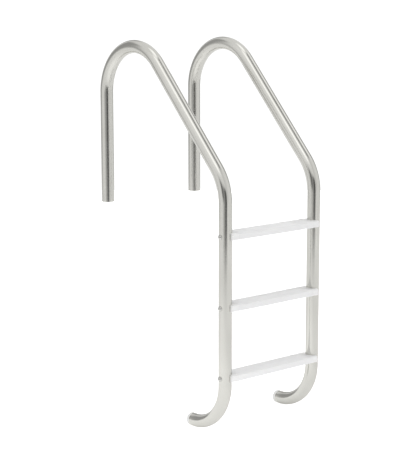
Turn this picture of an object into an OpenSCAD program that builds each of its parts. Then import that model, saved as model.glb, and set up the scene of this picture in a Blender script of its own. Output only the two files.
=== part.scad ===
// Pool ladder: two bent stainless rails, three moulded treads on saddle ends, and wall bumpers.
// Frame: X runs across the ladder, +Y points from the pool towards the deck, +Z is up.
// The origin is at deck level, midway between the two deck legs. Millimetres.

/* [Rail tube] */
// Outside diameter of the rail tube (1.90 inch)
rail_od = 48.3; // [45:0.1:51]
// Wall thickness of the rail tube
rail_wall = 1.65; // [1.2:0.05:3]
// Distance between the rails, centre to centre
rail_spacing = 430; // [400:1:560]

/* [Rail shape] */
// Length of each deck leg that stands in its deck anchor
anchor_depth = 100; // [60:1:150]
// Straight height of each deck leg above the deck
leg_height = 315; // [250:1:450]
// Centre-line radius of the handrail bends
bend_r = 178; // [150:1:210]
// Angle between the sloping handrail and the vertical
slope = 43; // [35:1:50]
// Straight length of the sloping handrail
slope_len = 470; // [380:1:560]
// Straight length of each pool leg, between its bends
pool_leg_len = 650; // [640:1:760]
// Centre-line radius of the foot bend
foot_r = 165; // [140:1:178]
// Straight stub at the end of the foot
foot_stub = 8; // [8:1:40]

/* [Treads] */
// Height from one tread to the next
tread_pitch = 254; // [230:1:270]
// Depth of the top tread's surface below the deck
top_tread_drop = 129.5; // [100:0.5:140]
// Tread in front of the rail axis, on the pool side
tread_front = 35; // [32:0.5:40]
// Tread behind the rail axis, on the wall side
tread_back = 41; // [36:0.5:60]
// Height of a tread, grip ribs included
tread_h = 25; // [22:0.5:30]
// Wall thickness of a tread
tread_wall = 3.5; // [2.5:0.1:4]
// Edge radius of a tread
tread_edge_r = 4.5; // [3:0.1:6]
// Height of the grip ribs on a tread
grip_h = 1.2; // [0.6:0.1:1.6]
// Width of one grip rib
grip_w = 3.6; // [2:0.1:4.5]
// Distance between grip ribs
grip_pitch = 7.6; // [7:0.1:9]

/* [Saddle ends] */
// Length of a saddle end along the tread
saddle_len = 30; // [29:0.5:36]
// Distance from the rail's centre plane to the saddle's open edge
saddle_inset = 3.5; // [2:0.5:8]
// Length of the tongues that plug into the tread
tongue_len = 12; // [8:0.5:16]

/* [Tread bolts] */
// Diameter of the tread bolts
bolt_d = 8; // [6:0.5:9]
// Diameter of the domed bolt head
head_d = 16; // [14:0.5:18]
// Height of the domed bolt head
head_h = 4.2; // [3.5:0.1:5]
// Depth of the bolt's axis below the tread's surface
bolt_drop = 13; // [12:0.5:14]

/* [Wall bumpers] */
// How far each bumper stands proud of the rail end
bumper_h = 18; // [12:0.5:24]
// Radius of the bumper's flat contact face
bumper_face_r = 13; // [10:0.5:18]
// Height of the rounded shoulder round that face
bumper_round = 8; // [4:0.5:10]
// Bevel on the bumper where it meets the rail end
bumper_bevel = 1.2; // [0.6:0.1:1.5]

/* [Hidden] */
$fn = 96;

steel = [0.76, 0.77, 0.74];
white = [0.93, 0.93, 0.92];
R = rail_od / 2;
Ri = R - rail_wall;
half = rail_spacing / 2;

// Rail path in the side plane: first number towards the pool, second number up.
c1 = [bend_r, leg_height];
p1 = c1 + bend_r * [cos(slope), sin(slope)];
p2 = p1 + slope_len * [sin(slope), -cos(slope)];
c2 = p2 - bend_r * [cos(slope), sin(slope)];
reach = c2[0] + bend_r;
foot_z = c2[1] - pool_leg_len;
c3 = [reach - foot_r, foot_z];
stub_z = foot_z - foot_r;
foot_end = c3[0] - foot_stub;

// Tread levels, top to bottom, and the stations along the tread
levels = [-top_tread_drop, -top_tread_drop - tread_pitch, -top_tread_drop - 2 * tread_pitch];
saddle_out = half - saddle_inset;
saddle_in = saddle_out - saddle_len;
groove_r = R + 0.15;
hole_r = bolt_d / 2 + 0.3;
washer_t = 1.6;
nut_h = 6.8;
seat_h = 1.5;
tongue_gap = 0.2;
grip_count = floor((tread_front + tread_back - 2 * tread_edge_r - grip_w) / grip_pitch) + 1;

// Turns a shape drawn in the side plane (x towards the pool, y up) into the ladder's frame.
module side_plane() { rotate([90, 0, -90]) children(); }

// Turns a shape by a degrees about Z, in two steps chosen so that its size stays true.
function drift(a) = pow(round(sin(a) * 1e6) / 1e6, 2) + pow(round(cos(a) * 1e6) / 1e6, 2) - 1;
splits = [for (k = [7 : 0.01 : slope - 7]) [abs(drift(k) + drift(slope - k)), k]];
least = min([for (s = splits) s[0]]);
first_step = [for (s = splits) if (s[0] == least) s[1]][0];
module turn() { rotate([0, 0, first_step]) rotate([0, 0, slope - first_step]) children(); }
module turn_back() { rotate([0, 0, -first_step]) rotate([0, 0, first_step - slope]) children(); }

module ring2d() { difference() { circle(R); circle(Ri); } }

// A straight tube that runs from the origin along -Y.
module drop(len) { rotate([90, 0, 0]) linear_extrude(height = len) ring2d(); }

// A full ring of tube about the origin, and the two half spaces that trim it to a bend.
module ring(rad) { rotate_extrude() translate([rad, 0]) ring2d(); }
module below() { translate([-400, -800, -60]) cube([800, 800, 120]); }
module above() { translate([-400, 0, -60]) cube([800, 800, 120]); }

// The whole rail, each length placed from the end of the one before it.
module rail_tube() {
    side_plane() {
        translate([0, leg_height]) drop(anchor_depth + leg_height);
        translate(c1) {
            difference() {
                ring(bend_r);
                below();
                turn() below();
            }
            turn() {
                translate([bend_r, 0]) drop(slope_len);
                translate([0, -slope_len]) {
                    difference() {
                        ring(bend_r);
                        above();
                        turn_back() below();
                    }
                    turn_back() {
                        translate([bend_r, 0]) drop(pool_leg_len);
                        translate([bend_r - foot_r, -pool_leg_len]) {
                            rotate_extrude(angle = 90, start = -90) translate([foot_r, 0]) ring2d();
                            translate([0, -foot_r]) rotate([0, 0, -90]) drop(foot_stub);
                        }
                    }
                }
            }
        }
    }
}

// One rail with a cross hole through both walls at each tread.
module rail(x) {
    color(steel) translate([x, 0, 0]) difference() {
        rail_tube();
        for (z = levels)
            translate([-R - 5, -reach, z - bolt_drop]) rotate([0, 90, 0]) cylinder(r = hole_r, h = rail_od + 10);
    }
}

// Round plug that fills the foot's end: a grooved stem in the tube and a domed pad against the pool wall.
module wall_bumper(x) {
    color(white) translate([x, -foot_end, stub_z]) rotate([-90, 0, 0]) difference() {
        union() {
            rotate_extrude() union() {
                square([bumper_face_r, bumper_h]);
                polygon([[0, 0], [R - bumper_bevel, 0], [R, bumper_bevel], [R, bumper_h - bumper_round], [0, bumper_h - bumper_round]]);
                intersection() {
                    translate([bumper_face_r, bumper_h - bumper_round]) bumper_shoulder();
                    square([R, bumper_h]);
                }
            }
            translate([0, 0, -7]) cylinder(r = Ri - 0.1, h = 7);
            translate([0, 0, -20]) cylinder(r1 = Ri - 4.5, r2 = Ri - 2.5, h = 13.2);
        }
        translate([0, 0, -21]) cylinder(r = 12, h = 17);
    }
}

// Quarter of a flattened round for the bumper's shoulder, drawn as a polygon.
module bumper_shoulder() {
    w = R - bumper_face_r;
    n = 8;
    polygon([[0, 0], for (i = [0 : n]) [w * cos(90 * i / n), bumper_round * sin(90 * i / n)]]);
}

module round_rect(x0, x1, y0, y1, r) {
    translate([x0 + r, y0]) square([x1 - x0 - 2 * r, y1 - y0]);
    translate([x0, y0 + r]) square([x1 - x0, y1 - y0 - 2 * r]);
    for (x = [x0 + r, x1 - r], y = [y0 + r, y1 - r]) translate([x, y]) circle(r);
}

// Cross-section of a tread: a ribbed deck on two skirts whose lips turn inwards.
module tread_section() {
    w = tread_wall;
    difference() {
        round_rect(-tread_back, tread_front, -tread_h, -grip_h, tread_edge_r);
        translate([-tread_back + w, -tread_h + w])
            square([tread_back + tread_front - 2 * w, tread_h - grip_h - 2 * w]);
        translate([-tread_back + w + 9, -tread_h - 1])
            square([tread_back + tread_front - 2 * w - 18, w + 2]);
    }
    for (i = [0 : grip_count - 1])
        translate([(tread_front - tread_back) / 2 + (i - (grip_count - 1) / 2) * grip_pitch - grip_w / 2, -grip_h - 0.5])
            square([grip_w, grip_h + 0.5]);
}

// A tread: the section run between its saddle ends, with webs under the deck.
module tread(z) {
    w = tread_wall;
    web = 2.4;
    inner = saddle_in - tongue_len - 4;
    top = -grip_h - w + 0.5;
    color(white) side_plane() translate([reach, z, 0]) {
        linear_extrude(height = 2 * saddle_in, center = true) tread_section();
        // two webs along the tread
        for (v = [-tread_back * 0.45, tread_front * 0.42])
            translate([v - web / 2, top - 13, -inner]) cube([web, 13, 2 * inner]);
        // seven webs across it
        for (i = [-3 : 3])
            translate([-tread_back + w - 0.5, top - 13, i * inner / 3 - (i + 3) / 6 * web])
                cube([tread_back + tread_front - 2 * w + 1, 13, web]);
    }
}

// A saddle end: a block that closes the tread and wraps the inner half of the rail.
module saddle(side, z) {
    w = tread_wall;
    color(white) difference() {
        union() {
            side_plane() translate([reach, z, -side * (saddle_in + saddle_len / 2)])
                linear_extrude(height = saddle_len, center = true)
                    round_rect(-tread_back + 0.3, tread_front - 0.3, -tread_h + 0.3, -grip_h / 2, tread_edge_r);
            for (v = [[-tread_back + w + tongue_gap, -12], [12, tread_front - w - tongue_gap]])
                translate([side * (saddle_in - tongue_len / 2), -reach - (v[0] + v[1]) / 2, z - grip_h - w - tongue_gap - 7.5])
                    cube([tongue_len + 0.02, v[1] - v[0], 15], center = true);
        }
        // groove for the rail
        translate([side * half, -reach, z - tread_h - 5]) cylinder(r = groove_r, h = tread_h + 10);
        // bolt hole
        translate([side * (saddle_in - 20), -reach, z - bolt_drop])
            rotate([0, side * 90, 0]) cylinder(r = hole_r, h = 60);
    }
}

// Places a fastener drawn along +Z, with its seat at the rail's outer face, on each side of a tread.
module each_side(z) {
    for (side = [-1, 1])
        translate([side * (half + R), -reach, z - bolt_drop]) rotate([0, side * 90, 0]) children();
}

// Domed bolts with a hexagon socket, heads on the outside of the rails.
module tread_bolts(z) {
    rho = (head_d * head_d / 4 + head_h * head_h) / (2 * head_h);
    grip = half + R + seat_h - saddle_in;
    tail = washer_t + nut_h + 3;
    color(steel) each_side(z) translate([0, 0, seat_h]) difference() {
        union() {
            intersection() {
                translate([0, 0, head_h - rho]) sphere(r = rho);
                cylinder(r = head_d / 2 - 0.2, h = head_h + 1);
            }
            translate([0, 0, -grip - tail]) cylinder(r = bolt_d / 2, h = grip + tail + 0.5);
        }
        translate([0, 0, head_h - 2.6]) cylinder(r = 2.9, h = 5, $fn = 6);
    }
}

// Curved washers that seat the bolt heads on the round rails.
module saddle_washers(z) {
    color(steel) each_side(z) difference() {
        translate([0, 0, -2.4]) cylinder(r = head_d / 2 + 1.2, h = 2.4 + seat_h);
        translate([0, 0, -R]) rotate([0, 90, 0]) cylinder(r = R + 0.05, h = 60, center = true);
        translate([0, 0, -5]) cylinder(r = hole_r, h = 10);
    }
}

// Flat washers between the saddle ends and the nuts.
module flat_washers(z) {
    color(steel) each_side(z) translate([0, 0, -(half + R - saddle_in) - washer_t]) difference() {
        cylinder(r = 8, h = washer_t);
        translate([0, 0, -1]) cylinder(r = bolt_d / 2 + 0.2, h = washer_t + 2);
    }
}

// Hexagon nuts inside the treads.
module tread_nuts(z) {
    color(steel) each_side(z) translate([0, 0, -(half + R - saddle_in) - washer_t - nut_h]) difference() {
        intersection() {
            cylinder(r = 13 / sqrt(3), h = nut_h, $fn = 6);
            cylinder(r1 = 6.5, r2 = 6.5 + nut_h * 1.8, h = nut_h);
            translate([0, 0, 0]) cylinder(r1 = 6.5 + nut_h * 1.8, r2 = 6.5, h = nut_h);
        }
        translate([0, 0, -1]) cylinder(r = bolt_d / 2 + 0.05, h = nut_h + 2);
    }
}

module left_rail() { rail(-half); }
module right_rail() { rail(half); }
module left_wall_bumper() { wall_bumper(-half); }
module right_wall_bumper() { wall_bumper(half); }
module top_tread() { tread(levels[0]); }
module middle_tread() { tread(levels[1]); }
module bottom_tread() { tread(levels[2]); }
module top_left_saddle() { saddle(-1, levels[0]); }
module top_right_saddle() { saddle(1, levels[0]); }
module middle_left_saddle() { saddle(-1, levels[1]); }
module middle_right_saddle() { saddle(1, levels[1]); }
module bottom_left_saddle() { saddle(-1, levels[2]); }
module bottom_right_saddle() { saddle(1, levels[2]); }
module top_tread_bolts() { tread_bolts(levels[0]); }
module middle_tread_bolts() { tread_bolts(levels[1]); }
module bottom_tread_bolts() { tread_bolts(levels[2]); }
module top_saddle_washers() { saddle_washers(levels[0]); }
module middle_saddle_washers() { saddle_washers(levels[1]); }
module bottom_saddle_washers() { saddle_washers(levels[2]); }
module top_flat_washers() { flat_washers(levels[0]); }
module middle_flat_washers() { flat_washers(levels[1]); }
module bottom_flat_washers() { flat_washers(levels[2]); }
module top_tread_nuts() { tread_nuts(levels[0]); }
module middle_tread_nuts() { tread_nuts(levels[1]); }
module bottom_tread_nuts() { tread_nuts(levels[2]); }

left_rail();
right_rail();
left_wall_bumper();
right_wall_bumper();
top_tread();
middle_tread();
bottom_tread();
top_left_saddle();
top_right_saddle();
middle_left_saddle();
middle_right_saddle();
bottom_left_saddle();
bottom_right_saddle();
top_tread_bolts();
middle_tread_bolts();
bottom_tread_bolts();
top_saddle_washers();
middle_saddle_washers();
bottom_saddle_washers();
top_flat_washers();
middle_flat_washers();
bottom_flat_washers();
top_tread_nuts();
middle_tread_nuts();
bottom_tread_nuts();
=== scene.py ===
import math
import random

import bmesh
import bpy
from mathutils import Matrix, Vector


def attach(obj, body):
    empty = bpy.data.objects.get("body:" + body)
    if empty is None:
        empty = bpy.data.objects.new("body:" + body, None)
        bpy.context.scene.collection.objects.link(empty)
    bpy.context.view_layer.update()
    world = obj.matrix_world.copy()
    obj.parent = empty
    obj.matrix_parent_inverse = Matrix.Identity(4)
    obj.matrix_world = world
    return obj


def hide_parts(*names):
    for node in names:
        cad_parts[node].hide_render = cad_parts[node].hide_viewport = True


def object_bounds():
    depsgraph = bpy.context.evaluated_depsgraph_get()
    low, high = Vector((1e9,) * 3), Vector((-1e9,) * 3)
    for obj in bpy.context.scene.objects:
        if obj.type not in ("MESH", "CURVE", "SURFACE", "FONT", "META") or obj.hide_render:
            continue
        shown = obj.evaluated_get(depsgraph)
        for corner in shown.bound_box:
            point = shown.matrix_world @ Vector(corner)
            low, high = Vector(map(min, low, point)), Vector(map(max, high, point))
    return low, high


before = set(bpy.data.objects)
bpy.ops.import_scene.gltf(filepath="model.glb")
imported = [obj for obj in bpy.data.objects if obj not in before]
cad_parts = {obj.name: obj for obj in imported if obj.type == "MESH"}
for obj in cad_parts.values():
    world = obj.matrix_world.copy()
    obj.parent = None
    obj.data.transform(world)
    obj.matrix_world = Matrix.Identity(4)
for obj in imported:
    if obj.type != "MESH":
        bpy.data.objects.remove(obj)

CAD_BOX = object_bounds()

# ---------------------------------------------------------------- sizes, in millimetres
R = 24.15             # outside radius of the rail tube
WALL = 1.65
RI = R - WALL
HALF = 215.0          # rail centre lines stand at X = -HALF and +HALF
ANCHOR = 100.0        # deck leg below deck level
LEG = 315.0           # deck leg above deck level
BEND = 178.0
SLOPE = 43.0
SLOPE_LEN = 470.0
POOL_LEN = 650.0
FOOT_R = 165.0
STUB = 8.0

SL = math.radians(SLOPE)
C1 = (BEND, LEG)
P1 = (C1[0] + BEND * math.cos(SL), C1[1] + BEND * math.sin(SL))
P2 = (P1[0] + SLOPE_LEN * math.sin(SL), P1[1] - SLOPE_LEN * math.cos(SL))
C2 = (P2[0] - BEND * math.cos(SL), P2[1] - BEND * math.sin(SL))
REACH = C2[0] + BEND
FOOT_Z = C2[1] - POOL_LEN
C3 = (REACH - FOOT_R, FOOT_Z)
STUB_Z = FOOT_Z - FOOT_R
FOOT_END = C3[0] - STUB

LEVELS = [("top", -129.5), ("middle", -383.5), ("bottom", -637.5)]
FRONT, BACK, TH = 35.0, 41.0, 25.0    # tread in front of and behind the rail axis, and its height
WT = 3.5                              # tread wall
EDGE = 4.5
RIB_H, RIB_W, RIB_P = 1.2, 3.6, 7.6
S_OUT = HALF - 3.5                    # saddle's open edge
S_IN = S_OUT - 30.0                   # where tread and saddle meet
BOLT_DROP = 13.0

MM = 0.001


# ---------------------------------------------------------------- mesh helpers
def make(name, verts, faces, uvs=None, smooth=None):
    """A mesh object from millimetre points. uvs is one (u, v) in metres per face corner. smooth is the sharp-edge angle in degrees."""
    me = bpy.data.meshes.new(name)
    me.from_pydata([(x * MM, y * MM, z * MM) for x, y, z in verts], [], faces)
    if uvs is not None:
        layer = me.uv_layers.new(name="UVMap")
        layer.data.foreach_set("uv", [c for uv in uvs for c in uv])
    me.validate(clean_customdata=False)
    ob = bpy.data.objects.new(name, me)
    bpy.context.scene.collection.objects.link(ob)
    if smooth is not None:
        shade(ob, smooth)
    return ob


def shade(ob, angle):
    ob.data.polygons.foreach_set("use_smooth", [True] * len(ob.data.polygons))
    ob.data.set_sharp_from_angle(angle=math.radians(angle))
    ob.data.update()


def bake(ob):
    """Applies every modifier on ob."""
    dg = bpy.context.evaluated_depsgraph_get()
    dg.update()
    me = bpy.data.meshes.new_from_object(ob.evaluated_get(dg), preserve_all_data_layers=True, depsgraph=dg)
    old = ob.data
    ob.modifiers.clear()
    ob.data = me
    me.name = ob.name
    bpy.data.meshes.remove(old)
    return ob


def boolean(ob, tools, op="DIFFERENCE"):
    """ob with each tool cut away, joined on or kept in common. The tools are used up."""
    for t in tools:
        m = ob.modifiers.new("b", "BOOLEAN")
        m.operation = op
        m.solver = "EXACT"
        m.object = t
        bake(ob)
        me = t.data
        bpy.data.objects.remove(t)
        bpy.data.meshes.remove(me)
    return ob


def tidy(me):
    """Merges points that lie within a micron of each other and removes faces with no area."""
    bm = bmesh.new()
    bm.from_mesh(me)
    bmesh.ops.remove_doubles(bm, verts=bm.verts, dist=1.5e-6)
    bmesh.ops.dissolve_degenerate(bm, dist=1e-6, edges=bm.edges)
    bm.to_mesh(me)
    bm.free()
    me.update()


def bevel(ob, width, segments=3, angle=30.0):
    m = ob.modifiers.new("v", "BEVEL")
    m.width = width * MM
    m.segments = segments
    m.limit_method = "ANGLE"
    m.angle_limit = math.radians(angle)
    m.use_clamp_overlap = True
    m.miter_outer = "MITER_ARC"
    return bake(ob)


def join(name, obs):
    """Several mesh objects as one, with their places applied."""
    verts, faces, uvs, flags = [], [], [], []
    layers = all(o.data.uv_layers for o in obs)
    for o in obs:
        base = len(verts)
        verts += [tuple((o.matrix_world @ v.co) / MM) for v in o.data.vertices]
        for p in o.data.polygons:
            faces.append([base + i for i in p.vertices])
            flags.append(p.use_smooth)
            if layers:
                uvs += [tuple(o.data.uv_layers[0].data[i].uv) for i in p.loop_indices]
    for o in obs:
        me = o.data
        bpy.data.objects.remove(o)
        if not me.users:
            bpy.data.meshes.remove(me)
    return make(name, verts, faces, uvs if layers else None)


def box(name, lo, hi):
    x0, y0, z0 = lo
    x1, y1, z1 = hi
    v = [(x0, y0, z0), (x1, y0, z0), (x1, y1, z0), (x0, y1, z0), (x0, y0, z1), (x1, y0, z1), (x1, y1, z1), (x0, y1, z1)]
    f = [(0, 3, 2, 1), (4, 5, 6, 7), (0, 1, 5, 4), (1, 2, 6, 5), (2, 3, 7, 6), (3, 0, 4, 7)]
    return make(name, v, f)


def lathe(name, profile, n=96, closed=False, smooth=35):
    """Turns (radius, z) points about Z. Points at radius 0 are poles. closed joins the last point to the first."""
    verts, rows = [], []
    for r, z in profile:
        if r < 1e-6:
            rows.append([len(verts)])
            verts.append((0, 0, z))
        else:
            rows.append(list(range(len(verts), len(verts) + n)))
            verts += [(r * math.cos(2 * math.pi * k / n), r * math.sin(2 * math.pi * k / n), z) for k in range(n)]
    faces = []
    pairs = list(zip(rows[:-1], rows[1:]))
    if closed:
        pairs.append((rows[-1], rows[0]))
    for a, b in pairs:
        for k in range(n):
            j = (k + 1) % n
            if len(a) == 1 and len(b) == 1:
                continue
            if len(a) == 1:
                faces.append((a[0], b[j], b[k]))
            elif len(b) == 1:
                faces.append((a[k], a[j], b[0]))
            else:
                faces.append((a[k], a[j], b[j], b[k]))
    return make(name, verts, faces, smooth=smooth)


def fillet(points, radii, n=5, closed=True):
    """A polygon with each corner rounded. radii is one number a corner."""
    out = []
    count = len(points)
    for i, (p, r) in enumerate(zip(points, radii)):
        if r <= 0 or (not closed and i in (0, count - 1)):
            out.append(tuple(p))
            continue
        a = Vector(points[i - 1]) - Vector(p)
        b = Vector(points[(i + 1) % count]) - Vector(p)
        la, lb = a.length, b.length
        a.normalize()
        b.normalize()
        half = a.angle(b) / 2
        t = min(r / math.tan(half), 0.49 * la, 0.49 * lb)
        rr = t * math.tan(half)
        c = Vector(p) + (a + b).normalized() * (rr / math.sin(half))
        s, e = Vector(p) + a * t - c, Vector(p) + b * t - c
        a0 = math.atan2(s.y, s.x)
        sweep = math.atan2(e.y, e.x) - a0
        while sweep > math.pi:
            sweep -= 2 * math.pi
        while sweep < -math.pi:
            sweep += 2 * math.pi
        for k in range(n + 1):
            g = a0 + sweep * k / n
            out.append((c.x + rr * math.cos(g), c.y + rr * math.sin(g)))
    return out


def signed_area(loop):
    return 0.5 * sum(a[0] * b[1] - b[0] * a[1] for a, b in zip(loop, loop[1:] + loop[:1]))


def inset(loop, d):
    """The loop moved inwards by d, for a counter-clockwise loop."""
    out = []
    n = len(loop)
    for i in range(n):
        a, p, b = Vector(loop[i - 1]), Vector(loop[i]), Vector(loop[(i + 1) % n])
        e1, e2 = (p - a), (b - p)
        if e1.length < 1e-9 or e2.length < 1e-9:
            out.append(tuple(p))
            continue
        n1 = Vector((-e1.y, e1.x)).normalized()
        n2 = Vector((-e2.y, e2.x)).normalized()
        m = n1 + n2
        if m.length < 1e-6:
            out.append(tuple(p))
            continue
        m.normalize()
        k = d / max(0.35, m.dot(n1))
        out.append(tuple(p + m * k))
    return out


def prism(name, loop, stations, place, smooth=None):
    """Runs a closed counter-clockwise loop through stations, each (distance, inset), with flat ends. place maps (a, b, distance) to a millimetre point. UVs are (distance, length round the loop)."""
    n = len(loop)
    around = [0.0]
    for a, b in zip(loop, loop[1:] + loop[:1]):
        around.append(around[-1] + math.dist(a, b))
    verts = []
    for s, d in stations:
        ring = inset(loop, d) if d else loop
        verts += [place(a, b, s) for a, b in ring]
    faces, uvs = [], []
    for i in range(len(stations) - 1):
        for k in range(n):
            j = (k + 1) % n
            faces.append((i * n + k, i * n + j, (i + 1) * n + j, (i + 1) * n + k))
            s0, s1 = stations[i][0] * MM, stations[i + 1][0] * MM
            uvs += [(s0, around[k] * MM), (s0, around[k + 1] * MM), (s1, around[k + 1] * MM), (s1, around[k] * MM)]
    first = list(range(n))[::-1]
    last = [(len(stations) - 1) * n + k for k in range(n)]
    faces += [first, last]
    for f, st in ((first, 0), (last, -1)):
        ring = loop
        uvs += [(ring[i % n][0] * MM, ring[i % n][1] * MM) for i in f]
    ob = make(name, verts, faces, uvs)
    if smooth is not None:
        shade(ob, smooth)
    return ob


def side(x, u, z):
    """A point in the side plane: u towards the pool, z up, at rail station x."""
    return (x, -u, z)


# ---------------------------------------------------------------- rails
def rail_path():
    """(length so far, (u, z), (du, dz)) along the centre line, close enough together for smooth bends."""
    out = []
    s = 0.0

    def line(p, d, length, step, skip):
        nonlocal s
        n = max(1, round(length / step))
        for k in range(1 if skip else 0, n + 1):
            t = length * k / n
            out.append((s + t, (p[0] + d[0] * t, p[1] + d[1] * t), d))
        s += length

    def arc(c, r, a0, a1, step, turn):
        nonlocal s
        n = max(1, round(abs(a1 - a0) / step))
        for k in range(1, n + 1):
            a = math.radians(a0 + (a1 - a0) * k / n)
            out.append((s + r * math.radians(abs(a1 - a0)) * k / n, (c[0] + r * math.cos(a), c[1] + r * math.sin(a)), (-turn * math.sin(a), turn * math.cos(a))))
        s += r * math.radians(abs(a1 - a0))

    line((0, -ANCHOR), (0, 1), ANCHOR + LEG, 26, False)
    arc(C1, BEND, 180, SLOPE, 1.25, -1)
    line(P1, (math.sin(SL), -math.cos(SL)), SLOPE_LEN, 26, True)
    arc(C2, BEND, SLOPE, 0, 1.25, -1)
    line((REACH, C2[1]), (0, -1), POOL_LEN, 26, True)
    arc(C3, FOOT_R, 0, -90, 1.25, -1)
    line((C3[0], STUB_Z), (-1, 0), STUB, 4, True)
    return out


def rail(name, x, sides=112):
    path = rail_path()
    total = path[-1][0]
    lip = 0.45
    rings = []   # (point, tangent, radius, normal along tangent, normal outwards, v)

    def at(s):
        """The path's point and direction at length s, near either end."""
        a = path[0] if s < total / 2 else path[-1]
        d = s - a[0]
        return (a[1][0] + a[2][0] * d, a[1][1] + a[2][1] * d), a[2]

    # outside wall from the deck end to the foot
    for s, p, t in path:
        if s < lip or s > total - lip:
            p, t = at(min(max(s, lip), total - lip))
        rings.append((p, t, R, 0.0, 1.0, s))
    # rounded lip at the foot
    for k in range(1, 5):
        g = math.pi / 2 * k / 4
        p, t = at(total - lip + lip * math.sin(g))
        rings.append((p, t, R - lip + lip * math.cos(g), math.sin(g), math.cos(g), total + 0.3 * k))
    for k in range(0, 5):
        g = math.pi / 2 * (1 - k / 4)
        p, t = at(total - lip + lip * math.sin(g))
        rings.append((p, t, RI + lip - lip * math.cos(g), math.sin(g), -math.cos(g), total + 2 + 0.3 * k))
    # inside wall back to the deck end
    for s, p, t in reversed(path[1:-1]):
        rings.append((p, t, RI, 0.0, -1.0, 2 * total - s + 4))
    for k in range(0, 5):
        g = math.pi / 2 * k / 4
        p, t = at(lip - lip * math.sin(g))
        rings.append((p, t, RI + lip - lip * math.cos(g), -math.sin(g), -math.cos(g), 2 * total + 5 + 0.3 * k))
    for k in range(0, 4):
        g = math.pi / 2 * (1 - k / 4)
        p, t = at(lip - lip * math.sin(g))
        rings.append((p, t, R - lip + lip * math.cos(g), -math.sin(g), math.cos(g), 2 * total + 7 + 0.3 * k))

    verts, normals = [], []
    for p, t, r, nt, nr, v in rings:
        for k in range(sides):
            a = 2 * math.pi * k / sides
            # across: X, and the in-plane direction square to the path
            ox, oi = math.cos(a), math.sin(a)
            du, dz = -t[1], t[0]
            verts.append((x + r * ox, -(p[0] + r * oi * du), p[1] + r * oi * dz))
            normals.append((nr * ox, -(nr * oi * du + nt * t[0]), nr * oi * dz + nt * t[1]))
    faces, uvs = [], []
    m = len(rings)
    for i in range(m):
        j = (i + 1) % m
        v0, v1 = rings[i][5] * MM, (rings[j][5] if j else 2 * total + 9) * MM
        for k in range(sides):
            l = (k + 1) % sides
            faces.append((i * sides + k, i * sides + l, j * sides + l, j * sides + k))
            u0, u1 = 2 * math.pi * R * k / sides * MM, 2 * math.pi * R * (k + 1) / sides * MM
            uvs += [(u0, v0), (u1, v0), (u1, v1), (u0, v1)]
    ob = make(name, verts, faces, uvs)
    me = ob.data
    # face winding: turn every face outwards if the first one looks inwards
    f = me.polygons[0]
    c = f.center
    axis = Vector((x * MM, 0, c.z))
    if f.normal.dot(c - axis) < 0:
        me.flip_normals()
    me.polygons.foreach_set("use_smooth", [True] * len(me.polygons))
    me.normals_split_custom_set_from_vertices([Vector(n).normalized() for n in normals])
    me.update()
    return ob


# ---------------------------------------------------------------- wall bumpers
def bumper(name, x):
    """The plug in a foot: a domed pad with fine rings on its face, a shoulder against the tube and a hollow ribbed stem."""
    pad, face = 18.0, 13.0
    prof = [(0.0, pad)]
    for k in range(1, 4):          # three shallow grip rings on the flat face
        c = 3.0 * k + 0.4
        prof += [(c - 0.75, pad), (c - 0.45, pad - 0.12), (c - 0.2, pad - 0.42), (c + 0.2, pad - 0.42), (c + 0.45, pad - 0.12), (c + 0.75, pad)]
    prof.append((face - 1.2, pad))
    w, h = R - face, 8.0
    for k in range(0, 19):
        g = math.pi / 2 * k / 18
        prof.append((face + w * math.sin(g), pad - h + h * math.cos(g)))
    prof.append((R, 6.0))
    prof.append((R, 1.9))
    for k in range(1, 9):          # eased edge that leaves a shadow line against the tube
        g = math.pi / 2 * k / 8
        prof.append((R - 1.35 * (1 - math.cos(g)), 1.9 - 1.9 * math.sin(g)))
    stem = RI - 0.1
    prof += [(stem + 0.35, 0.0), (stem, -0.35)]
    for z in (-2.2, -4.6):         # two barbs that grip the tube
        prof += [(stem, z + 0.9), (stem - 0.15, z + 0.35), (stem - 0.8, z - 0.2), (stem - 0.8, z - 0.5), (stem - 0.1, z - 0.8)]
    prof += [(stem, -6.6), (stem - 0.4, -7.0)]
    prof += [(RI - 2.6, -7.1), (RI - 4.3, -19.4), (RI - 4.9, -20.0), (12.6, -20.0), (12.0, -19.4), (12.0, -4.6), (11.4, -4.0), (0.0, -4.0)]
    # drawn about +Z, then the face is turned to look along +Y
    ob = lathe(name, prof, n=112, smooth=32)
    ob.data.flip_normals()
    ob.data.transform(Matrix.Translation((x * MM, -FOOT_END * MM, STUB_Z * MM)) @ Matrix.Rotation(-math.pi / 2, 4, "X"))
    ob.data.update()
    return ob


# ---------------------------------------------------------------- treads
def rounded(x0, x1, y0, y1, r, n=6):
    return fillet([(x0, y0), (x1, y0), (x1, y1), (x0, y1)], [r] * 4, n)


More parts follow.
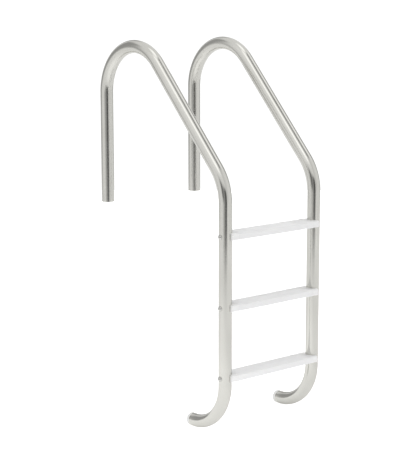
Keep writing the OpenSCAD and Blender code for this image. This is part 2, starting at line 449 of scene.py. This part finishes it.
def tread_loop():
    """The tread's cross-section, counter-clockwise: a ribbed deck on two skirts whose lips turn inwards."""
    x0, x1, y0, y1 = -BACK, FRONT, -TH, -RIB_H
    pts, rad = [], []

    def add(x, y, r=0.0):
        pts.append((x, y))
        rad.append(r)

    lip = 9.0
    # outside, from the lip at the back, round the bottom back corner ... counter-clockwise
    add(x0 + WT + lip, y0, 1.2)
    add(x0 + WT + lip, y0 + WT, 1.2)
    add(x0 + WT, y0 + WT, 1.0)
    add(x0 + WT, y1 - WT, 1.8)
    add(x1 - WT, y1 - WT, 1.8)
    add(x1 - WT, y0 + WT, 1.0)
    add(x1 - WT - lip, y0 + WT, 1.2)
    add(x1 - WT - lip, y0, 1.2)
    add(x1, y0, EDGE)
    add(x1, y1, EDGE)
    count = int((FRONT + BACK - 2 * EDGE - RIB_W) / RIB_P) + 1
    for i in reversed(range(count)):
        c = (FRONT - BACK) / 2 + (i - (count - 1) / 2) * RIB_P
        add(c + RIB_W / 2 + 0.25, y1, 0.5)
        add(c + RIB_W / 2 - 0.25, 0.0, 0.6)
        add(c - RIB_W / 2 + 0.25, 0.0, 0.6)
        add(c - RIB_W / 2 - 0.25, y1, 0.5)
    add(x0, y1, EDGE)
    add(x0, y0, EDGE)
    loop = []
    n = len(pts)
    for i in range(n):
        big = rad[i] >= 3
        part = fillet([pts[i - 1], pts[i], pts[(i + 1) % n]], [0, rad[i], 0], 8 if big else 4)
        loop += part[1:-1]
    if signed_area(loop) < 0:
        loop.reverse()
    return loop


def tread(name, z):
    loop = tread_loop()
    ends = [(-S_IN, 0.7), (-S_IN + 0.12, 0.35), (-S_IN + 0.4, 0.1), (-S_IN + 0.8, 0.0)]
    mids = [(-S_IN + 0.8 + (2 * S_IN - 1.6) * k / 12, 0.0) for k in range(1, 12)]
    stations = ends + mids + [(-s, d) for s, d in reversed(ends)]
    ob = prism(name, loop, stations, lambda a, b, s: (s, -(REACH + a), z + b))
    ob.data.flip_normals()
    inner = S_IN - 12.0 - 4.0
    top = -RIB_H - WT + 0.5
    webs = []
    for v in (-BACK * 0.45, FRONT * 0.42):
        webs.append(box("w", (-inner, -(REACH + v) - 1.2, z + top - 13), (inner, -(REACH + v) + 1.2, z + top)))
    for i in range(-3, 4):
        c = i * inner / 3 * (1 - 1.2 / inner)
        webs.append(box("w", (c - 1.2, -(REACH + FRONT - WT + 0.5), z + top - 13), (c + 1.2, -(REACH - BACK + WT - 0.5), z + top)))
    for w in webs:
        bevel(w, 0.4, 2)
    whole = join(name + "_all", [ob] + webs)
    shade(whole, 32)
    whole.name = name
    return whole


# ---------------------------------------------------------------- saddle ends
def saddle(name, sg, z):
    loop = rounded(-BACK + 0.3, FRONT - 0.3, -TH + 0.3, -RIB_H / 2, EDGE, 8)
    near, far = S_IN, S_OUT
    st = [(near, 0.7), (near + 0.12, 0.35), (near + 0.4, 0.1), (near + 0.8, 0.0)]
    st += [(near + 0.8 + (far - near - 2.4) * k / 4, 0.0) for k in range(1, 5)]
    st += [(far - 0.9, 0.16), (far - 0.35, 0.55), (far - 0.08, 1.1), (far, 1.7)]
    ob = prism(name, loop, st, lambda a, b, s: (sg * s, -(REACH + a), z + b))
    if sg > 0:
        ob.data.flip_normals()
    # groove for the rail, with an eased rim at the top and the bottom
    g = R + 0.15
    prof = [(0, -TH - 6), (g + 1.6, -TH - 6), (g + 1.6, -TH - 0.3), (g + 1.0, -TH + 0.35), (g + 0.45, -TH + 0.75), (g, -TH + 1.5)]
    prof += [(g, -2.0), (g + 0.35, -1.35), (g + 0.9, -0.85), (g + 1.6, -0.6), (g + 1.6, 4), (0, 4)]
    cut = lathe("cut", prof, n=128)
    cut.data.flip_normals()
    cut.data.transform(Matrix.Translation((sg * HALF * MM, -REACH * MM, z * MM)))
    hole = lathe("hole", [(0, -40), (4.3, -40), (4.3, 40), (0, 40)], n=40)
    hole.data.flip_normals()
    hole.data.transform(Matrix.Translation((sg * (near + 10) * MM, -REACH * MM, (z - BOLT_DROP) * MM)) @ Matrix.Rotation(math.pi / 2, 4, "Y"))
    tongues = []
    for a, b in ((-BACK + WT + 0.2, -12.0), (12.0, FRONT - WT - 0.2)):
        x0, x1 = sorted((sg * (near + 0.9), sg * (near - 12.0)))
        t = box("t", (x0, -(REACH + b), z - RIB_H - WT - 0.2 - 15.0), (x1, -(REACH + a), z - RIB_H - WT - 0.2))
        tongues.append(bevel(t, 1.0, 3))
    boolean(ob, [cut, hole])
    boolean(ob, tongues, "UNION")
    tidy(ob.data)
    shade(ob, 30)
    return ob


# ---------------------------------------------------------------- fasteners, drawn along +Z from the rail's outer face
SEAT = 1.5
HEAD_D, HEAD_H = 16.0, 4.2
GRIP = HALF + R + SEAT - S_IN
TAIL = 1.6 + 6.8 + 3.0
NUT_FACE = -(HALF + R - S_IN) - 1.6     # where the nut meets its washer


def bolt_mesh():
    rho = (HEAD_D * HEAD_D / 4 + HEAD_H * HEAD_H) / (2 * HEAD_H)
    c = HEAD_H - rho
    edge = HEAD_D / 2 - 0.25
    prof = [(0.0, HEAD_H)]
    top = math.asin(edge / rho)
    for k in range(1, 25):
        g = top * k / 24
        prof.append((rho * math.sin(g), c + rho * math.cos(g)))
    rim = prof[-1][1]
    prof += [(edge + 0.05, rim - 0.18), (edge, 0.12), (edge - 0.15, 0.0), (4.5, 0.0), (4.12, -0.12), (4.0, -0.5), (4.0, -0.9)]
    head = lathe("bolt", [(r, z + SEAT) for r, z in prof] + [(4.0, SEAT - 3.0), (0.0, SEAT - 3.0)], n=96, smooth=30)
    head.data.flip_normals()
    # hexagon socket with a conical floor, its rim eased
    a = 2.9
    hexa = []
    for r, zz in ((a + 0.5, HEAD_H + 0.4), (a + 0.12, HEAD_H - 0.18), (a, HEAD_H - 0.4), (a, HEAD_H - 2.6)):
        hexa.append([(r * math.cos(math.radians(60 * k + 30)), r * math.sin(math.radians(60 * k + 30)), zz + SEAT) for k in range(6)])
    verts = [v for ring in hexa for v in ring] + [(0, 0, HEAD_H - 3.0 + SEAT)]
    faces = [list(range(6))]
    for i in range(len(hexa) - 1):
        for k in range(6):
            j = (k + 1) % 6
            faces.append((i * 6 + k, (i + 1) * 6 + k, (i + 1) * 6 + j, i * 6 + j))
    last = (len(hexa) - 1) * 6
    for k in range(6):
        faces.append((last + k, last + 6, last + (k + 1) % 6))
    sock = make("sock", verts, faces)
    boolean(head, [sock])
    tidy(head.data)
    shade(head, 30)
    # shank: plain under the head, M8 x 1.25 thread cut to the end
    n, pitch, depth = 48, 1.25, 0.65
    z0, z1 = SEAT - 0.8, SEAT - GRIP - TAIL
    start = z1 + 26.0
    zs = [z0, z0 - 1.0, start + 2.5]
    steps = int((start + 2.5 - z1) / (pitch / 8))
    zs += [start + 2.5 - (start + 2.5 - z1) * k / steps for k in range(1, steps + 1)]
    verts = []
    for zz in zs:
        for k in range(n):
            ph = ((z1 - zz) / pitch + k / n) % 1.0
            tri = abs(2 * ph - 1)                      # 0 in the root, 1 on the crest
            tri = min(1.0, max(0.0, (tri - 0.12) / 0.76))
            run = min(1.0, max(0.0, (start - zz) / 2.5))   # the thread fades in
            r = 4.0 - depth * run * (1 - tri)
            tip = min(1.0, max(0.0, (1.2 - (zz - z1)) / 1.2))   # chamfer at the end
            r = min(r, 4.0 - 1.0 * tip)
            verts.append((r * math.cos(2 * math.pi * k / n), r * math.sin(2 * math.pi * k / n), zz))
    faces = []
    for i in range(len(zs) - 1):
        for k in range(n):
            j = (k + 1) % n
            faces.append((i * n + k, (i + 1) * n + k, (i + 1) * n + j, i * n + j))
    faces.append(list(range(n)))
    faces.append([(len(zs) - 1) * n + k for k in range(n)][::-1])
    shank = make("shank", verts, faces, smooth=50)
    return join("bolt_all", [head, shank])


def saddle_washer_mesh():
    r, h = HEAD_D / 2 + 1.2, 4.3
    prof = [(0, -2.4), (r - 0.1, -2.4), (r, -2.3), (r, SEAT - 0.5), (r - 0.15, SEAT - 0.15), (r - 0.5, SEAT), (0, SEAT)]
    w = lathe("washer", prof, n=96, smooth=30)
    w.data.flip_normals()
    tube = lathe("tube", [(0, -40), (R + 0.05, -40), (R + 0.05, 40), (0, 40)], n=256)
    tube.data.flip_normals()
    tube.data.transform(Matrix.Translation((0, 0, -R * MM)) @ Matrix.Rotation(math.pi / 2, 4, "Y"))
    hole = lathe("hole", [(0, -6), (h, -6), (h, 6), (0, 6)], n=64)
    hole.data.flip_normals()
    boolean(w, [tube, hole])
    tidy(w.data)
    shade(w, 30)
    return w


def flat_washer_mesh():
    t = 1.6
    z = -(HALF + R - S_IN) - t
    prof = [(4.2, z + 0.15), (4.35, z), (7.75, z), (7.95, z + 0.1), (8.0, z + 0.3), (8.0, z + t - 0.3), (7.95, z + t - 0.1), (7.75, z + t), (4.35, z + t), (4.2, z + t - 0.15)]
    w = lathe("flat", prof, n=96, closed=True, smooth=40)
    return w


def nut_mesh():
    h, af = 6.8, 13.0
    z0 = NUT_FACE - h
    rc = af / math.sqrt(3)
    verts, faces = [], []
    for zz in (z0, z0 + h):
        verts += [(rc * math.cos(math.radians(60 * k)), rc * math.sin(math.radians(60 * k)), zz) for k in range(6)]
    faces = [(5, 4, 3, 2, 1, 0), (6, 7, 8, 9, 10, 11)]
    for k in range(6):
        j = (k + 1) % 6
        faces.append((k, j, 6 + j, 6 + k))
    nut = make("nut", verts, faces)
    cham = (rc - 6.35) * math.tan(math.radians(30))
    cone = lathe("cone", [(0, z0), (6.2, z0), (rc + 0.35, z0 + cham * 1.35), (rc + 0.35, z0 + h - cham * 1.35), (6.2, z0 + h), (0, z0 + h)], n=96)
    cone.data.flip_normals()
    boolean(nut, [cone], "INTERSECT")
    hole = lathe("hole", [(0, z0 - 1), (4.75, z0 - 1), (4.75, z0 + 0.05), (4.05, z0 + 0.75), (4.05, z0 + h - 0.75), (4.75, z0 + h - 0.05), (4.75, z0 + h + 1), (0, z0 + h + 1)], n=64)
    hole.data.flip_normals()
    boolean(nut, [hole])
    bevel(nut, 0.18, 2, 25)
    tidy(nut.data)
    shade(nut, 28)
    return nut


def pair(name, master, z):
    """One copy of a fastener on each side of a tread, as one piece."""
    obs = []
    for sg in (-1, 1):
        me = master.data.copy()
        turn = Matrix.Rotation(sg * math.pi / 2, 4, "Y")
        spin = Matrix.Rotation(math.radians(17 * sg + abs(z) % 41), 4, "Z") if "bolt" in name or "nut" in name else Matrix.Identity(4)
        me.transform(Matrix.Translation((sg * (HALF + R) * MM, -REACH * MM, (z - BOLT_DROP) * MM)) @ turn @ spin)
        ob = bpy.data.objects.new(name + "_x", me)
        bpy.context.scene.collection.objects.link(ob)
        obs.append(ob)
    out = join(name + "_pair", obs)
    out.name = name
    return out


# ---------------------------------------------------------------- materials
def nodes_of(name):
    mat = bpy.data.materials.new(name)
    mat.use_nodes = True
    nt = mat.node_tree
    nt.nodes.clear()
    out = nt.nodes.new("ShaderNodeOutputMaterial")
    bsdf = nt.nodes.new("ShaderNodeBsdfPrincipled")
    nt.links.new(bsdf.outputs[0], out.inputs["Surface"])
    return mat, nt, bsdf


def node(nt, kind, **values):
    n = nt.nodes.new(kind)
    for k, v in values.items():
        if hasattr(n, k):
            setattr(n, k, v)
        else:
            n.inputs[k].default_value = v
    return n


def ramp(nt, source, stops):
    r = nt.nodes.new("ShaderNodeValToRGB")
    while len(r.color_ramp.elements) < len(stops):
        r.color_ramp.elements.new(0.5)
    for e, (p, c) in zip(r.color_ramp.elements, stops):
        e.position = p
        e.color = (*c, 1.0) if len(c) == 3 else c
    nt.links.new(source, r.inputs[0])
    return r


def math_node(nt, op, a, b=None, clamp=False):
    n = nt.nodes.new("ShaderNodeMath")
    n.operation = op
    n.use_clamp = clamp
    for i, v in enumerate((a, b)):
        if v is None:
            continue
        if isinstance(v, (int, float)):
            n.inputs[i].default_value = v
        else:
            nt.links.new(v, n.inputs[i])
    return n.outputs[0]


def mapping(nt, source, scale):
    m = nt.nodes.new("ShaderNodeMapping")
    m.inputs["Scale"].default_value = scale
    nt.links.new(source, m.inputs["Vector"])
    return m.outputs[0]


def steel_tube():
    """Polished stainless tube: drawn along its length, buffed across it."""
    mat, nt, b = nodes_of("rail_steel_polished")
    uv = node(nt, "ShaderNodeUVMap", uv_map="UVMap").outputs[0]
    # draw lines: very long along the tube, fine across it
    draw = node(nt, "ShaderNodeTexNoise", Scale=1.0, Detail=4.0, Roughness=0.6)
    nt.links.new(mapping(nt, uv, (900, 7, 1)), draw.inputs["Vector"])
    # buffing marks: fine across the tube
    buff = node(nt, "ShaderNodeTexNoise", Scale=1.0, Detail=5.0, Roughness=0.7)
    nt.links.new(mapping(nt, uv, (60, 1600, 1)), buff.inputs["Vector"])
    # slow unevenness of the polish
    cloud = node(nt, "ShaderNodeTexNoise", Scale=9.0, Detail=3.0)
    tc = node(nt, "ShaderNodeTexCoord")
    nt.links.new(tc.outputs["Object"], cloud.inputs["Vector"])
    tint = ramp(nt, cloud.outputs[0], [(0.3, (0.606, 0.600, 0.563)), (0.7, (0.646, 0.640, 0.604))])
    nt.links.new(tint.outputs[0], b.inputs["Base Color"])
    b.inputs["Metallic"].default_value = 1.0
    rough = math_node(nt, "ADD", math_node(nt, "MULTIPLY", cloud.outputs[0], 0.08), math_node(nt, "MULTIPLY", buff.outputs[0], 0.05))
    rough = math_node(nt, "ADD", rough, 0.10)
    nt.links.new(rough, b.inputs["Roughness"])
    b1 = node(nt, "ShaderNodeBump", Strength=0.012, Distance=0.0002)
    nt.links.new(draw.outputs[0], b1.inputs["Height"])
    b2 = node(nt, "ShaderNodeBump", Strength=0.01, Distance=0.0001)
    nt.links.new(buff.outputs[0], b2.inputs["Height"])
    nt.links.new(b1.outputs[0], b2.inputs["Normal"])
    nt.links.new(b2.outputs[0], b.inputs["Normal"])
    return mat


def steel_fastener():
    """Plain stainless of the bolts, washers and nuts: machined, a little duller than the tube."""
    mat, nt, b = nodes_of("fastener_steel_plain")
    tc = node(nt, "ShaderNodeTexCoord")
    fine = node(nt, "ShaderNodeTexNoise", Scale=900.0, Detail=4.0)
    nt.links.new(tc.outputs["Object"], fine.inputs["Vector"])
    cloud = node(nt, "ShaderNodeTexNoise", Scale=120.0, Detail=3.0)
    nt.links.new(tc.outputs["Object"], cloud.inputs["Vector"])
    tint = ramp(nt, cloud.outputs[0], [(0.3, (0.50, 0.50, 0.48)), (0.7, (0.60, 0.595, 0.57))])
    nt.links.new(tint.outputs[0], b.inputs["Base Color"])
    b.inputs["Metallic"].default_value = 1.0
    rough = math_node(nt, "ADD", math_node(nt, "MULTIPLY", fine.outputs[0], 0.12), 0.2)
    nt.links.new(rough, b.inputs["Roughness"])
    b1 = node(nt, "ShaderNodeBump", Strength=0.12, Distance=0.0001)
    nt.links.new(fine.outputs[0], b1.inputs["Height"])
    nt.links.new(b1.outputs[0], b.inputs["Normal"])
    return mat


def plastic(name, low, high, rough, grain, scale):
    """Moulded polymer: a fine spark-eroded grain, faint flow marks along X and a soft sheen."""
    mat, nt, b = nodes_of(name)
    tc = node(nt, "ShaderNodeTexCoord")
    flow = node(nt, "ShaderNodeTexNoise", Scale=1.0, Detail=3.0)
    nt.links.new(mapping(nt, tc.outputs["Object"], (5, 26, 26)), flow.inputs["Vector"])
    tint = ramp(nt, flow.outputs[0], [(0.3, low), (0.7, high)])
    nt.links.new(tint.outputs[0], b.inputs["Base Color"])
    pits = node(nt, "ShaderNodeTexVoronoi", Scale=scale)
    nt.links.new(tc.outputs["Object"], pits.inputs["Vector"])
    fine = node(nt, "ShaderNodeTexNoise", Scale=scale * 1.7, Detail=4.0)
    nt.links.new(tc.outputs["Object"], fine.inputs["Vector"])
    r = math_node(nt, "ADD", math_node(nt, "MULTIPLY", flow.outputs[0], 0.08), rough)
    nt.links.new(math_node(nt, "ADD", r, math_node(nt, "MULTIPLY", fine.outputs[0], 0.06)), b.inputs["Roughness"])
    h = math_node(nt, "ADD", math_node(nt, "MULTIPLY", pits.outputs["Distance"], 0.7), math_node(nt, "MULTIPLY", fine.outputs[0], 0.4))
    b1 = node(nt, "ShaderNodeBump", Strength=grain, Distance=0.0002)
    nt.links.new(h, b1.inputs["Height"])
    nt.links.new(b1.outputs[0], b.inputs["Normal"])
    b.inputs["Subsurface Weight"].default_value = 0.12
    b.inputs["Subsurface Scale"].default_value = 0.002
    b.inputs["Subsurface Radius"].default_value = (1.0, 0.95, 0.9)
    b.inputs["IOR"].default_value = 1.5
    return mat


def paint(ob, mat):
    ob.data.materials.clear()
    ob.data.materials.append(mat)


# ---------------------------------------------------------------- build
M_RAIL = steel_tube()
M_FAST = steel_fastener()
M_TREAD = plastic("tread_plastic_white", (0.90, 0.90, 0.905), (0.935, 0.935, 0.935), 0.42, 0.25, 1400.0)
M_SADDLE = plastic("saddle_plastic_white", (0.92, 0.92, 0.92), (0.95, 0.95, 0.945), 0.38, 0.15, 1800.0)
M_BUMP = plastic("bumper_rubber_white", (0.84, 0.84, 0.825), (0.88, 0.88, 0.87), 0.5, 0.2, 2200.0)
M_BUMP.node_tree.nodes["Principled BSDF"].inputs["Subsurface Weight"].default_value = 0.35


def finish_piece(ob, mat, slot_name, *cad):
    paint(ob, mat)
    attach(ob, "root")
    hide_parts(*cad)
    return ob


for label, sg in (("left", -1), ("right", 1)):
    finish_piece(rail(label + "_rail_tube", sg * HALF), M_RAIL, "rail_steel", label + "_rail")
    finish_piece(bumper(label + "_bumper_plug", sg * HALF), M_BUMP, "bumper_rubber", label + "_wall_bumper")

masters = {
    "tread_bolts": bolt_mesh(),
    "saddle_washers": saddle_washer_mesh(),
    "flat_washers": flat_washer_mesh(),
    "tread_nuts": nut_mesh(),
}
for level, z in LEVELS:
    finish_piece(tread(level + "_tread_step", z), M_TREAD, "tread_plastic", level + "_tread")
    for label, sg in (("left", -1), ("right", 1)):
        finish_piece(saddle(f"{level}_{label}_saddle_end", sg, z), M_SADDLE, "saddle_plastic", f"{level}_{label}_saddle")
    for kind, master in masters.items():
        ob = pair(f"{level}_{kind}_set", master, z)
        ob.data.polygons.foreach_set("use_smooth", [True] * len(ob.data.polygons))
        ob.data.set_sharp_from_angle(angle=math.radians(30))
        finish_piece(ob, M_FAST, "fastener_steel", f"{level}_{kind}")
for master in masters.values():
    me = master.data
    bpy.data.objects.remove(master)
    bpy.data.meshes.remove(me)

# ---------------------------------------------------------------- floor, light and camera
scene = bpy.context.scene
scene.view_settings.view_transform = "Standard"
scene.view_settings.look = "None"
scene.view_settings.exposure = 0.0
scene.view_settings.gamma = 1.0

floor_z = CAD_BOX[0][2] if hasattr(CAD_BOX[0], "__len__") else CAD_BOX[0].z
floor_z = float(floor_z) / MM - 0.15
LENS_SIDE = -139.2     # compass bearing of the open front of the studio


def floor_loop(front, back, wide):
    """A rectangle square to the studio's open front."""
    g = math.radians(LENS_SIDE)
    fx, fy = math.sin(g), math.cos(g)
    rx, ry = fy, -fx
    return [(fx * a + rx * c, fy * a + ry * c, floor_z) for a, c in ((-back, -wide), (-back, wide), (front, wide), (front, -wide))]


corners = floor_loop(3750, 5200, 4200)
if signed_area([(x, y) for x, y, z in corners]) < 0:
    corners.reverse()
floor = make("floor", corners, [(0, 1, 2, 3)])
mat, nt, b = nodes_of("floor_pale")
b.inputs["Base Color"].default_value = (0.92, 0.92, 0.92, 1)
b.inputs["Roughness"].default_value = 0.9
n = node(nt, "ShaderNodeTexNoise", Scale=40.0, Detail=4.0)
tc = node(nt, "ShaderNodeTexCoord")
nt.links.new(tc.outputs["Object"], n.inputs["Vector"])
bp = node(nt, "ShaderNodeBump", Strength=0.02, Distance=0.001)
nt.links.new(n.outputs[0], bp.inputs["Height"])
nt.links.new(bp.outputs[0], b.inputs["Normal"])
# a light table: the floor glows, lit from below, brighter for the camera than in reflections and bright enough to lose
# the shadows; on top of that a painted pool of light glows round a point 1.15 m out on the camera's side
path = nt.nodes.new("ShaderNodeLightPath")
# painted pool of light: extra floor glow of up to 0.22 round that point, fading out by 2 m
painted_light_pool = node(nt, "ShaderNodeMapRange", interpolation_type="SMOOTHERSTEP")
lit = nt.nodes.new("ShaderNodeVectorMath")
lit.operation = "DISTANCE"
g = math.radians(LENS_SIDE + 16)
lit.inputs[1].default_value = (1.15 * math.sin(g), 1.15 * math.cos(g), floor_z * MM)
nt.links.new(tc.outputs["Object"], lit.inputs[0])
for key, v in (("From Min", 2.0), ("From Max", 0.3), ("To Min", 0.0), ("To Max", 0.22)):
    painted_light_pool.inputs[key].default_value = v
nt.links.new(lit.outputs["Value"], painted_light_pool.inputs["Value"])
# the even floor glow plus the painted pool of light
floor_glow_and_painted_pool = math_node(nt, "ADD", math_node(nt, "ADD", math_node(nt, "MULTIPLY", path.outputs["Is Camera Ray"], 0.65), 0.14), painted_light_pool.outputs[0])
b.inputs["Emission Color"].default_value = (1, 1, 1, 1)
nt.links.new(floor_glow_and_painted_pool, b.inputs["Emission Strength"])
floor.data.materials.append(mat)

# Studio round the object, by bearing from the open front and by elevation, in degrees:
# (bearing, elevation, half width, half height, soft edge, brightness)
WALLS = 0.93
CARDS = [
    (0, 90, 180, 13, 6, 1.55),        # light straight overhead
    (-42, 30, 14, 34, 10, 0.78),      # gap beside the front softbox
    (-60, 66, 26, 9, 6, 0.36),        # gap above it
    (-113, 50, 17, 8, 6, 1.32),       # strip light on the other side
    (22, 56, 28, 13, 9, 1.60),        # front softbox, high
    (52, 40, 26, 14, 10, 1.05),       # its dimmer side wing
    (119, 15, 23, 24, 8, 0.42),       # dark flat on one side
    (-135, 8, 9, 30, 7, 0.32),        # narrow dark flats behind
    (166, 10, 9, 32, 7, 0.42),
    (7, -2, 23, 21, 10, 0.52),        # open front, the dim room beyond
    (31, 8, 13, 12, 7, 0.16),
    (-8, -2, 20, 20, 5, 0.26),
    (-14, -2, 11, 18, 5, 0.09),       # its darkest part, a doorway
]
world = bpy.data.worlds.new("studio")
scene.world = world
world.use_nodes = True
wn = world.node_tree
wn.nodes.clear()
wout = wn.nodes.new("ShaderNodeOutputWorld")
tc = wn.nodes.new("ShaderNodeTexCoord")
rot = wn.nodes.new("ShaderNodeVectorRotate")
rot.rotation_type = "Z_AXIS"
rot.inputs["Angle"].default_value = math.radians(LENS_SIDE)
wn.links.new(tc.outputs["Generated"], rot.inputs["Vector"])
xyz = wn.nodes.new("ShaderNodeSeparateXYZ")
wn.links.new(rot.outputs[0], xyz.inputs[0])
bearing = math_node(wn, "MULTIPLY", math_node(wn, "ARCTAN2", xyz.outputs[0], xyz.outputs[1]), 180 / math.pi)
rise = math_node(wn, "MULTIPLY", math_node(wn, "ARCSINE", xyz.outputs[2]), 180 / math.pi)


def within(value, centre, half, soft):
    """1 inside centre +- half, falling to 0 over the soft edge."""
    r = wn.nodes.new("ShaderNodeMapRange")
    r.interpolation_type = "SMOOTHSTEP"
    for key, v in (("From Min", half + soft), ("From Max", half - soft), ("To Min", 0.0), ("To Max", 1.0)):
        r.inputs[key].default_value = v
    wn.links.new(math_node(wn, "ABSOLUTE", math_node(wn, "SUBTRACT", value, centre)), r.inputs["Value"])
    return r.outputs[0]


level = WALLS
for az, el, hw, hh, soft, light in CARDS:
    mask = math_node(wn, "MULTIPLY", within(bearing, az, hw, soft), within(rise, el, hh, soft))
    if isinstance(level, float):
        gap = light - level
        level = math_node(wn, "ADD", math_node(wn, "MULTIPLY", mask, gap), level)
    else:
        gap = math_node(wn, "SUBTRACT", light, level)
        level = math_node(wn, "ADD", math_node(wn, "MULTIPLY", mask, gap), level)
# straight on, the walls are plain white
path = wn.nodes.new("ShaderNodeLightPath")
level = math_node(wn, "MAXIMUM", level, math_node(wn, "MULTIPLY", path.outputs["Is Camera Ray"], 1.1))
bg = wn.nodes.new("ShaderNodeBackground")
bg.inputs["Color"].default_value = (1, 1, 1, 1)
wn.links.new(level, bg.inputs["Strength"])
wn.links.new(bg.outputs[0], wout.inputs[0])

cam = bpy.data.objects.new("camera", bpy.data.cameras.new("camera"))
cam.location = (-3.4336, -4.3278, 0.7589)
cam.rotation_euler = (math.radians(90 - 10.37), 0.0, math.radians(-40.77))
cam.data.lens = 109.96
cam.data.sensor_width = 36.0
cam.data.sensor_fit = "AUTO"
cam.data.clip_end = 60.0
scene.collection.objects.link(cam)
scene.camera = cam
